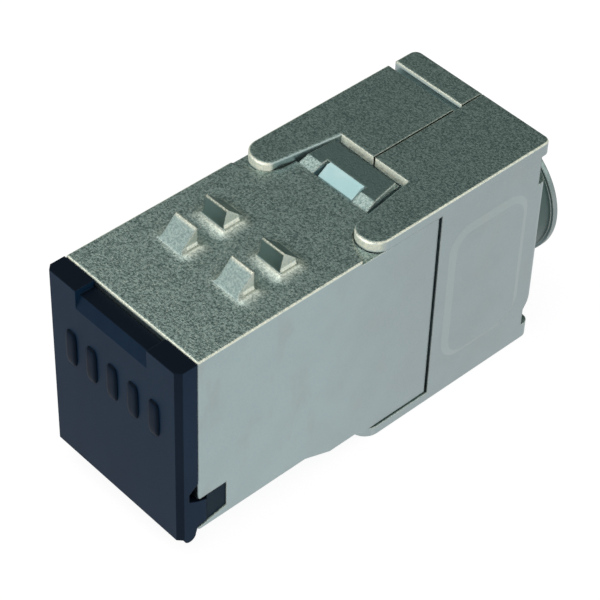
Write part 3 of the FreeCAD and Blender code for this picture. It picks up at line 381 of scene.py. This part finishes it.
def door_relief(tree, place, normal):
    """Rolled front rims at the top of the doors with a painted highlight, and
    painted shade in the split between the doors, on their upward faces and
    on the collar's neck. A rim leans back by its draft for each millimetre of rise."""
    x, y, z = (axis / MM for axis in tree.parts(place))
    along, up = normal[1:]
    groove = y.step(GROOVE_START, GROOVE_START + 0.1) * GROOVE_DROP
    rise = (z - RIM_START - groove).at_least(0.0)
    rim = (0.0 - along).step(0.2, 0.6)
    # Painted shade in the split, on the doors' upward faces and on the collar's neck, less on its
    # rim.
    split = 1.0 - x.magnitude().step(0.1, 0.15)
    neck = y.step(NECK_START, NECK_START + 0.05) * (1.0 - y.step(NECK_END - 0.05, NECK_END) * 0.65)
    painted_shade = split.at_least(up.step(*UPWARD) * 0.56).at_least(neck)
    # The rims' rise also gives a painted highlight.
    return 0.0 - rise * rim * RIM_DRAFT, rise.step(0.05, 0.3) * rim, painted_shade


def cast_metal(name, look, relief, depth=1.0):
    """Nickel-plated zinc: coarse tumbled grain on top, smoother drawn sides,
    with painted shade on tops, recesses and gaps, and painted highlights.
    """
    made, tree = material(name)
    place = tree.place()
    normal = tree.parts(tree.normal())
    x, y = tree.parts(place)[:2]
    level = normal[2].step(0.5, 0.9)
    size = look.grain_size / MM
    coarse = tree.noise(place, size, 3.0, 0.6)
    fine = tree.noise(place, size * 0.55, 2.0, 0.6)
    grain = (coarse * 0.62 + fine * 0.38).step(0.4, 0.6)
    pits = tree.cells(place, size * 1.5).step(0.1, 0.5)
    # Painted sparkle: grain specks coloured as specular highlights.
    painted_sparkle = tree.noise(place, size * 0.6, 2.0, 0.6).step(0.6, 0.72)
    cloud = tree.noise(place, CLOUD_SIZE).step(0.3, 0.75)
    smudge = tree.noise(place, SMUDGE_SIZE, 3.0, 0.6, (1.0, 1.0, 0.5)).step(0.56, 0.72)
    scratch = tree.noise(place, SCRATCH_SIZE, 2.0, 0.5, (1.0, 0.9, 9.0)).step(0.68, 0.78)
    # Edges: wear that also carries a painted highlight.
    edge = tree.edge(look.edge_width / MM)

    top = tree.mix(grain * 0.72 + pits * 0.28, look.metal_dark, look.metal_light)
    top = tree.mix(painted_sparkle * 0.7, top, look.plate_highlight_and_wear)
    # Sides: random cloud, and painted shade darker towards the rear.
    rearward = (y / MM).step(6.0, 27.0)
    side = tree.mix(cloud * 0.25 + rearward * 0.75, look.side_pale, look.side_cloud_and_shade)
    side = tree.mix(smudge * 0.35, side, look.side_smudge)
    side = tree.mix(grain * 0.12 + scratch * 0.25, side, look.plate_highlight_and_wear)
    # Upward faces take the top colours: the grain is real, their darker tone than the sides is
    # painted shade.
    base = tree.mix(level, side, top)

    ledge = normal[0].magnitude()
    # Painted highlight on the sloped border faces of the doors' side panels.
    border = ledge.step(0.9, 0.94) * (1.0 - ledge.step(0.97, 0.995))
    base = tree.mix(border * 0.45, base, look.side_border_highlight)
    height, painted_highlight, painted_shade = relief(tree, place, normal)
    # Painted highlight on the rounded outer edges between the tops and the sides.
    outer = (x.magnitude() / MM).step(CORNER_START, CORNER_START + 0.2)
    corner = ledge.step(0.15, 0.35) * normal[2].step(0.15, 0.35) * (1.0 - ledge.step(0.88, 0.93))
    painted_highlight = painted_highlight.at_least(corner * outer)
    # Painted shade from the reliefs: lug faces, bridge, tops, door split and collar.
    base = tree.mix(painted_shade, base, look.plate_painted_shade)
    # Painted highlights on edges, crests, flanks, fillets, lips, rims and corners, broken up by the
    # grain.
    base = tree.mix((edge * 0.7).at_least(painted_highlight) * (0.45 + grain * 0.55), base, look.plate_highlight_and_wear)

    rough = look.side_roughness + (look.top_roughness - look.side_roughness) * level
    rough = rough + (grain - 0.5) * 0.12 - edge * 0.08
    cast = (coarse * 0.7 + fine * 0.3) * (0.12 + 0.88 * level) * (1.0 - painted_highlight * 0.6)
    cast = cast * (look.grain_depth / MM * depth)
    tree.surface(
        Base_Color=base,
        Metallic=1.0,
        Roughness=rough,
        Normal=tree.bump(cast + height, 1.0, 1.0, look.edge_round / MM),
    )
    return made


def moulded(name, colour, pale, roughness, grain=0.05, edge_gain=0.5, gloss=0.06, top_shade=None):
    """Moulded plastic: fine spark texture, faint flow marks, rubbed edges.
    With a top shade colour, upward faces and side bevels take it as painted shade."""
    made, tree = material(name)
    place = tree.place()
    spark = tree.noise(place, grain * 2.4, 3.0, 0.6)
    flow = tree.noise(place, FLOW_SIZE, 3.0, 0.55, (1.0, 1.0, 0.35))
    dust = tree.noise(place, DUST_SIZE, 2.0, 0.7).step(0.66, 0.76)
    edge = tree.edge(PLASTIC_EDGE)
    base = tree.mix(flow.step(0.3, 0.75) * 0.4, colour, pale)
    base = tree.mix(dust * 0.18, base, pale)
    # Painted shade on upward faces and side bevels.
    if top_shade:
        across, _, up = tree.parts(tree.normal())
        shaded_bevel = across.magnitude().step(0.3, 0.6) * (1.0 - across.magnitude().step(0.85, 0.95))
        base = tree.mix(up.step(0.2, 0.7).at_least(shaded_bevel * 0.6), base, top_shade)
    base = tree.mix(edge * edge_gain, base, pale)
    tree.surface(
        Base_Color=base,
        Roughness=roughness + (spark - 0.5) * 0.12 + (flow - 0.5) * 0.1,
        Specular_IOR_Level=gloss,
        Normal=tree.bump(spark, 0.006, 0.6, 0.1),
    )
    return made


def sheet_metal(name, pale, dark, roughness, stretch):
    """Rolled or drawn strip: fine lines along the sheet and a faint stain."""
    made, tree = material(name)
    place = tree.place()
    lines = tree.noise(place, LINE_SIZE, 3.0, 0.6, stretch)
    stain = tree.noise(place, STAIN_SIZE, 3.0, 0.6)
    edge = tree.edge(SHEET_EDGE)
    base = tree.mix(lines.step(0.3, 0.7) * 0.5, pale, dark)
    base = tree.mix(stain.step(0.45, 0.8) * 0.3, base, dark)
    base = tree.mix(edge * 0.4, base, pale)
    tree.surface(
        Base_Color=base,
        Metallic=1.0,
        Roughness=roughness + (lines - 0.5) * 0.16,
        Normal=tree.bump(lines, 0.004, 0.5, 0.05),
    )
    return made


def laminate(name, resin, weave_pale, mottle_dark):
    """Solder mask over woven glass: the product of two sines makes the weave."""
    made, tree = material(name)
    place = tree.place()
    x, _, z = tree.parts(place)
    pitch = 2.0 * math.pi / (WEAVE_PITCH * MM)
    weave = (x * pitch).sine() * (z * pitch).sine()
    mottled = tree.noise(place, MOTTLE_SIZE, 3.0, 0.6)
    base = tree.mix(weave.step(-0.6, 0.8) * 0.35, resin, weave_pale)
    base = tree.mix(mottled.step(0.5, 0.8) * 0.4, base, mottle_dark)
    tree.surface(
        Base_Color=base,
        Roughness=0.28 + mottled * 0.12,
        Normal=tree.bump(weave, 0.01, 0.3),
    )
    return made


# -------------------------------------------------------------------- meshes


def closed_grid(rows, columns, first=0):
    """Quads between rings of points whose last column joins the first: point
    (row, column) has the number first + row * columns + column."""
    row, column = np.meshgrid(np.arange(rows - 1), np.arange(columns), indexing="ij")
    here = first + row * columns + column
    side = first + row * columns + (column + 1) % columns
    return np.stack([here, side, side + columns, here + columns], -1).reshape(-1, 4)


def pillow(centre, across, up, out, half_wide, half_high, height):
    """A raised pad: rings of a superellipse |u/a|^p + |v/b|^p = 1 shrink
    towards the middle while they rise by height * sqrt(1 - shrink^4). The
    outer ring lies a fifth of the height below the face."""
    turn = np.linspace(0.0, 2.0 * math.pi, PAD_COLUMNS, endpoint=False)
    cos, sin = np.cos(turn), np.sin(turn)
    u = np.sign(cos) * np.abs(cos) ** (2.0 / PAD_POWER) * half_wide
    v = np.sign(sin) * np.abs(sin) ** (2.0 / PAD_POWER) * half_high
    shrink = np.linspace(1.0, 0.02, PAD_ROWS) ** 0.7
    rise = height * np.sqrt(1.0 - shrink**4)
    rise[0] = -0.2 * height
    flat = shrink[:, None, None] * np.stack([u, v], -1)[None]
    across, up, out = (np.array(way, float) for way in (across, up, out))
    points = (
        np.array(centre, float)
        + flat[..., :1] * across
        + flat[..., 1:] * up
        + rise[:, None, None] * out
    )
    return points.reshape(-1, 3)


def fan(start, end, centre):
    """Triangles from each edge of a ring to one point."""
    return np.stack([start, end, np.full(len(start), centre)], -1).tolist()


def pads(name, body, spots, across, up, out, half_wide, half_high, height):
    """Several pillow-shaped pads in one piece, each closed front and back."""
    points, faces, first = [], [], 0
    column = np.arange(PAD_COLUMNS)
    after = (column + 1) % PAD_COLUMNS
    for spot in spots:
        rings = pillow(spot, across, up, out, half_wide, half_high, height)
        middle = rings[-PAD_COLUMNS:].mean(0, keepdims=True)
        back = rings[:PAD_COLUMNS].mean(0, keepdims=True)
        points += [rings, middle, back]
        centre = first + len(rings)
        last = centre - PAD_COLUMNS
        faces += closed_grid(PAD_ROWS, PAD_COLUMNS, first).tolist()
        faces += fan(last + column, last + after, centre)
        faces += fan(first + after, first + column, centre + 1)
        first = centre + 2
    mesh = bpy.data.meshes.new(name)
    mesh.from_pydata(np.concatenate(points).tolist(), [], faces)
    mesh.validate()
    mesh.shade_smooth()
    piece = bpy.data.objects.new(name, mesh)
    bpy.context.scene.collection.objects.link(piece)
    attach(piece, body)
    return piece


# ---------------------------------------------------------------- properties


class JackLook(bpy.types.PropertyGroup):
    """Colours and grain of the castings and mouldings, their painted highlights and painted shade,
    and the grip ribs.
    """

    # Top plate colours: the grain between them is real, their darker tone than the sides is painted
    # shade.
    metal_light: colour_prop("Plate, light", "Nickel plate on the high grains", (0.43, 0.53, 0.50))
    metal_dark: colour_prop("Plate, dark", "Nickel plate in the low grains", (0.085, 0.138, 0.135))
    # Painted highlight on edges, crests, fillets and grain specks; on the sides it also colours
    # real scratches.
    plate_highlight_and_wear: colour_prop("Plate, glint", "Painted highlight on edges and peaks, and wear", (0.86, 0.85, 0.72))
    # Painted shade in recesses, gaps and on shaded faces.
    plate_painted_shade: colour_prop("Plate, gloom", "Painted shade in recesses and gaps", (0.13, 0.188, 0.178))
    side_pale: colour_prop("Side, pale", "Smooth plate on the sides", (0.505, 0.64, 0.66))
    # Random cloud on the sides, and painted shade towards the rear.
    side_cloud_and_shade: colour_prop("Side, dull", "Clouded plate on the sides, painted shade to the rear", (0.44, 0.525, 0.55))
    # Painted highlight on the borders of the doors' panels.
    side_border_highlight: colour_prop("Side, border", "Painted highlight on the doors' panel borders", (0.60, 0.68, 0.67))
    side_smudge: colour_prop("Side, smudge", "Handled plate on the sides", (0.47, 0.53, 0.53))
    grain_size: length_prop("Grain size", "Width of a cast grain", 0.17)
    grain_depth: length_prop("Grain depth", "Height of the cast grain", 0.04)
    # Width of edge wear, which also carries a painted highlight.
    edge_width: length_prop("Edge wear", "Width of worn edges with painted highlight", 0.12)
    edge_round: length_prop("Edge rounding", "Rounding of cast edges", 0.2)
    top_roughness: factor_prop("Top roughness", "Roughness of upward faces", 0.42)
    side_roughness: factor_prop("Side roughness", "Roughness of the sides", 0.36)
    flap_dark: colour_prop("Flap", "Dust flap plastic", (0.004, 0.019, 0.048))
    flap_pale: colour_prop("Flap, rubbed", "Rubbed flap plastic", (0.014, 0.036, 0.072))
    # Painted shade on the upward faces and side bevels of the flap and ribs.
    flap_top_shade: colour_prop("Flap, deep", "Painted shade on flap and rib upward faces", (0.003, 0.006, 0.012))
    rib_dark: colour_prop("Ribs", "Grip rib plastic", (0.002, 0.009, 0.024))
    rib_pale: colour_prop("Ribs, rubbed", "Rubbed rib plastic", (0.008, 0.022, 0.045))
    port_dark: colour_prop("Port", "Port insert plastic", (0.005, 0.018, 0.034))
    port_pale: colour_prop("Port, rubbed", "Rubbed port plastic", (0.02, 0.04, 0.055))
    block_dark: colour_prop("Block", "Terminal block plastic", (0.03, 0.03, 0.033))
    block_pale: colour_prop("Block, rubbed", "Rubbed block plastic", (0.07, 0.07, 0.075))
    cap_colour: colour_prop("Wire cap", "Wire cap plastic", (0.44, 0.66, 0.69))
    cap_pale: colour_prop("Wire cap, rubbed", "Rubbed wire cap plastic", (0.78, 0.86, 0.86))
    rib_count: IntProperty(
        name="Grip ribs", description="Raised ribs on the dust flap", default=5, min=1, max=9
    )
    rib_spread: length_prop("Rib spread", "First rib to last rib", 9.2)
    rib_drop: length_prop("Rib drop", "Middle of the ribs below the flap's top", 6.1)
    rib_width: length_prop("Rib width", "Width of a rib", 1.2)
    rib_length: length_prop("Rib length", "Height of a rib on the flap", 3.5)
    rib_rise: length_prop("Rib rise", "How far a rib stands proud", 0.25)


class StripLook(bpy.types.PropertyGroup):
    """Colours of the strip parts and of the board."""

    latch_pale: colour_prop("Latch", "Latch strip", (0.62, 0.61, 0.56))
    latch_dark: colour_prop("Latch, stained", "Stained latch strip", (0.32, 0.32, 0.30))
    shield_pale: colour_prop("Shield spring", "Shield spring strip", (0.66, 0.65, 0.6))
    shield_dark: colour_prop("Shield spring, stained", "Stained spring", (0.36, 0.35, 0.33))
    gold_pale: colour_prop("Gold", "Gold flash on the contacts", (0.86, 0.62, 0.24))
    gold_dark: colour_prop("Gold, thin", "Thin gold flash", (0.55, 0.36, 0.12))
    tin_pale: colour_prop("Tin", "Tin plate on the terminals", (0.68, 0.68, 0.66))
    tin_dark: colour_prop("Tin, dull", "Dull tin plate", (0.42, 0.42, 0.41))
    resin: colour_prop("Board", "Solder mask of the board", (0.012, 0.10, 0.045))
    weave_pale: colour_prop("Board, weave", "Glass under the mask", (0.03, 0.2, 0.09))
    mottle_dark: colour_prop("Board, mottle", "Thick solder mask", (0.01, 0.07, 0.03))


class StageLook(bpy.types.PropertyGroup):
    """Camera, lights and room of the studio."""

    azimuth: angle_prop("Azimuth", "Camera direction from the front", 46.037)
    elevation: angle_prop("Elevation", "Camera height above the horizon", 43.913)
    roll: angle_prop("Roll", "Camera roll", 2.079)
    lens: FloatProperty(
        name="Lens", description="Focal length", unit="CAMERA", default=140.92, min=10.0
    )
    place: place_prop("Camera place", "Camera position", (0.092625, -0.072901, 0.122921))
    key_power: power_prop("Key light", "Power of the key light", 0.25)
    key_place: place_prop("Key place", "Middle of the key light", (-0.075, -0.075, 0.276))
    fill_power: power_prop("Fill light", "Power of the fill light", 0.09)
    fill_place: place_prop("Fill place", "Middle of the fill light", (0.18, 0.165, 0.187))
    lamp_size: length_prop("Light size", "Side of each square light", 200.0)
    room_low: colour_prop("Room, low", "Reflected room near the floor", (0.56, 0.62, 0.57))
    room_high: colour_prop("Room, high", "Reflected room overhead", (0.86, 0.86, 0.82))
    room_flag: colour_prop("Room, flag", "Dark card above the rear", (0.12, 0.155, 0.145))


# ----------------------------------------------------------------- operators


class JACK_OT_castings(bpy.types.Operator):
    """Finishes the cast housing and both doors"""

    bl_idname = "jack.castings"
    bl_label = "Castings"

    def execute(self, context):
        look = context.scene.jack_look
        paint(cast_metal("housing_nickel", look, lug_relief), "housing")
        paint(cast_metal("door_nickel", look, door_relief, 1.2), "left_door", "right_door")
        return {"FINISHED"}


class JACK_OT_mouldings(bpy.types.Operator):
    """Finishes the dust flap, port insert, terminal block and wire cap"""

    bl_idname = "jack.mouldings"
    bl_label = "Mouldings"

    def execute(self, context):
        look = context.scene.jack_look
        # The flap's upward faces and side bevels take painted shade.
        flap = moulded(
            "flap_moulding", look.flap_dark, look.flap_pale, 0.36,
            edge_gain=0.3, gloss=0.07, top_shade=look.flap_top_shade,
        )
        port = moulded(
            "port_moulding", look.port_dark, look.port_pale, 0.45, edge_gain=0.3, gloss=0.08
        )
        block = moulded("block_moulding", look.block_dark, look.block_pale, 0.5)
        cap = moulded(
            "cap_moulding", look.cap_colour, look.cap_pale, 0.38, grain=0.04, edge_gain=0.3
        )
        paint(flap, "dust_flap")
        paint(port, "port_insert")
        paint(block, "idc_block")
        paint(cap, "wire_cap")
        return {"FINISHED"}


class JACK_OT_strip_parts(bpy.types.Operator):
    """Finishes the latch, shield springs, contacts, terminals and board"""

    bl_idname = "jack.strip_parts"
    bl_label = "Strip parts"

    def execute(self, context):
        look = context.scene.strip_look
        latch = sheet_metal("latch_sheet", look.latch_pale, look.latch_dark, 0.3, ALONG_Y)
        spring = sheet_metal("shield_sheet", look.shield_pale, look.shield_dark, 0.28, ALONG_Z)
        gold = sheet_metal("gold_flash", look.gold_pale, look.gold_dark, 0.22, ALONG_Y)
        tin = sheet_metal("tin_plate", look.tin_pale, look.tin_dark, 0.34, ALONG_Y)
        mask = laminate("solder_mask", look.resin, look.weave_pale, look.mottle_dark)
        paint(latch, "keystone_latch")
        paint(spring, "shield_spring_left", "shield_spring_right")
        paint(gold, *CONTACTS)
        paint(tin, *TERMINALS)
        paint(mask, "circuit_board")
        return {"FINISHED"}


class JACK_OT_grip_ribs(bpy.types.Operator):
    """Adds the plain raised grip ribs on the face of the dust flap"""

    bl_idname = "jack.grip_ribs"
    bl_label = "Grip ribs"

    def execute(self, context):
        look = context.scene.jack_look
        low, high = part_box("dust_flap")
        level = high.z - look.rib_drop
        steps = max(1, look.rib_count - 1)
        spots = [
            ((index / steps - 0.5) * look.rib_spread, low.y, level)
            for index in range(look.rib_count)
        ]
        ribs = pads(
            "flap_grip_ribs", "flap", spots, (1, 0, 0), (0, 0, 1), (0, -1, 0),
            look.rib_width / 2.0, look.rib_length / 2.0, look.rib_rise,
        )
        # The ribs' upward faces take the flap's painted shade.
        finish = moulded(
            "rib_moulding", look.rib_dark, look.rib_pale, 0.34, gloss=0.05, top_shade=look.flap_top_shade
        )
        paint(finish, ribs)
        return {"FINISHED"}


class JACK_OT_stage(bpy.types.Operator):
    """Sets up the floor, the lights and the camera"""

    bl_idname = "jack.stage"
    bl_label = "Studio"

    def execute(self, context):
        look = context.scene.stage_look
        scene = context.scene
        scene.view_settings.view_transform = "Standard"
        self.floor(scene)
        self.room(scene, look)
        self.lamp(scene, "key", look.key_power, look.lamp_size, look.key_place)
        self.lamp(scene, "fill", look.fill_power, look.lamp_size, look.fill_place)
        self.camera(scene, look)
        return {"FINISHED"}

    def floor(self, scene):
        """A disc of rings on which the jack lies, white to the camera and in
        gloss, with the jack's shadow kept faintly."""
        turn = np.linspace(0.0, 2.0 * math.pi, FLOOR_SIDES, endpoint=False)
        circle = np.stack([np.cos(turn), np.sin(turn)], -1)[None]
        flat = (np.array(FLOOR_RINGS)[:, None, None] * circle).reshape(-1, 2)
        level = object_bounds()[0].z - FLOOR_DROP * MM
        points = np.column_stack([flat, np.full(len(flat), level)])
        mesh = bpy.data.meshes.new("floor")
        faces = closed_grid(len(FLOOR_RINGS), FLOOR_SIDES)
        mesh.from_pydata(points.tolist(), [], faces.tolist())
        mesh.validate()
        disc = bpy.data.objects.new("floor", mesh)
        scene.collection.objects.link(disc)
        made, tree = material("floor_card")
        direct = tree.ray("Is Camera Ray").at_least(tree.ray("Is Transmission Ray"))
        white = tree.node("ShaderNodeEmission", None, WHITE, 1.12)
        mirror = tree.node("ShaderNodeEmission", None, WHITE, 0.64)
        card = tree.node("ShaderNodeBsdfDiffuse", None, CARD, 1.0)
        reflected = tree.blend(tree.ray("Is Glossy Ray"), card, mirror)
        final = tree.blend(direct * 0.8, reflected, white)
        tree.node("ShaderNodeOutputMaterial", Surface=final)
        disc.data.materials.append(made)
        disc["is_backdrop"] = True

    def room(self, scene, look):
        """White to the camera; a soft grey room with a dark card in gloss."""
        scene.world = bpy.data.worlds.new("studio")
        tree = Tree(scene.world)
        way = tree.node("ShaderNodeTexCoord", out="Generated")
        height = tree.parts(way)[2]
        shade = tree.mix(height.step(0.3, 0.75), look.room_low, look.room_high)
        flag = tree.match(way, FLAG_WAY).step(0.78, 0.985)
        shade = tree.mix(flag, shade, look.room_flag)
        soft = tree.node("ShaderNodeBackground", None, shade, 1.0)
        white = tree.node("ShaderNodeBackground", None, WHITE, 1.0)
        final = tree.blend(tree.ray("Is Camera Ray"), soft, white)
        tree.node("ShaderNodeOutputWorld", Surface=final)

    def lamp(self, scene, name, power, size, place):
        """A square area light that looks at the housing."""
        data = bpy.data.lights.new(name, "AREA")
        data.energy = power
        data.size = size
        lamp = bpy.data.objects.new(name, data)
        scene.collection.objects.link(lamp)
        lamp.location = place
        aim = Vector(LAMP_AIM) - Vector(place)
        lamp.rotation_euler = aim.to_track_quat("-Z", "Y").to_euler()

    def camera(self, scene, look):
        """A long lens that looks down on the front right corner."""
        level = math.cos(look.elevation)
        back = Vector((
            math.sin(look.azimuth) * level,
            -math.cos(look.azimuth) * level,
            math.sin(look.elevation),
        ))
        right = Vector((0, 0, 1)).cross(back).normalized()
        up = back.cross(right)
        turned_right = math.cos(look.roll) * right + math.sin(look.roll) * up
        turned_up = math.cos(look.roll) * up - math.sin(look.roll) * right
        axes = Matrix((turned_right, turned_up, back)).transposed()
        data = bpy.data.cameras.new("camera")
        data.sensor_width = SENSOR_WIDTH
        data.lens = look.lens
        data.clip_start, data.clip_end = 0.01, 10.0
        camera = bpy.data.objects.new("camera", data)
        scene.collection.objects.link(camera)
        camera.matrix_world = Matrix.Translation(Vector(look.place)) @ axes.to_4x4()
        scene.camera = camera


OPERATORS = (
    JACK_OT_castings,
    JACK_OT_mouldings,
    JACK_OT_strip_parts,
    JACK_OT_grip_ribs,
    JACK_OT_stage,
)


class JACK_PT_panel(bpy.types.Panel):
    """Lists the jack's settings and its steps"""

    bl_label = "Keystone Jack"
    bl_idname = "JACK_PT_panel"
    bl_space_type = "VIEW_3D"
    bl_region_type = "UI"
    bl_category = "Jack"

    def draw(self, context):
        scene = context.scene
        for group in (scene.jack_look, scene.strip_look, scene.stage_look):
            for name in group.__annotations__:
                self.layout.prop(group, name)
        for operator in OPERATORS:
            self.layout.operator(operator.bl_idname)


CLASSES = (JackLook, StripLook, StageLook, *OPERATORS, JACK_PT_panel)


def register():
    """Registers the classes and the three groups of settings."""
    for item in CLASSES:
        bpy.utils.register_class(item)
    bpy.types.Scene.jack_look = PointerProperty(type=JackLook)
    bpy.types.Scene.strip_look = PointerProperty(type=StripLook)
    bpy.types.Scene.stage_look = PointerProperty(type=StageLook)


def unregister():
    """Removes the settings and the classes."""
    del bpy.types.Scene.stage_look
    del bpy.types.Scene.strip_look
    del bpy.types.Scene.jack_look
    for item in reversed(CLASSES):
        bpy.utils.unregister_class(item)


def main():
    """Builds everything in order."""
    register()
    bpy.ops.jack.castings()
    bpy.ops.jack.mouldings()
    bpy.ops.jack.strip_parts()
    bpy.ops.jack.grip_ribs()
    bpy.ops.jack.stage()


if __name__ == "__main__":
    main()
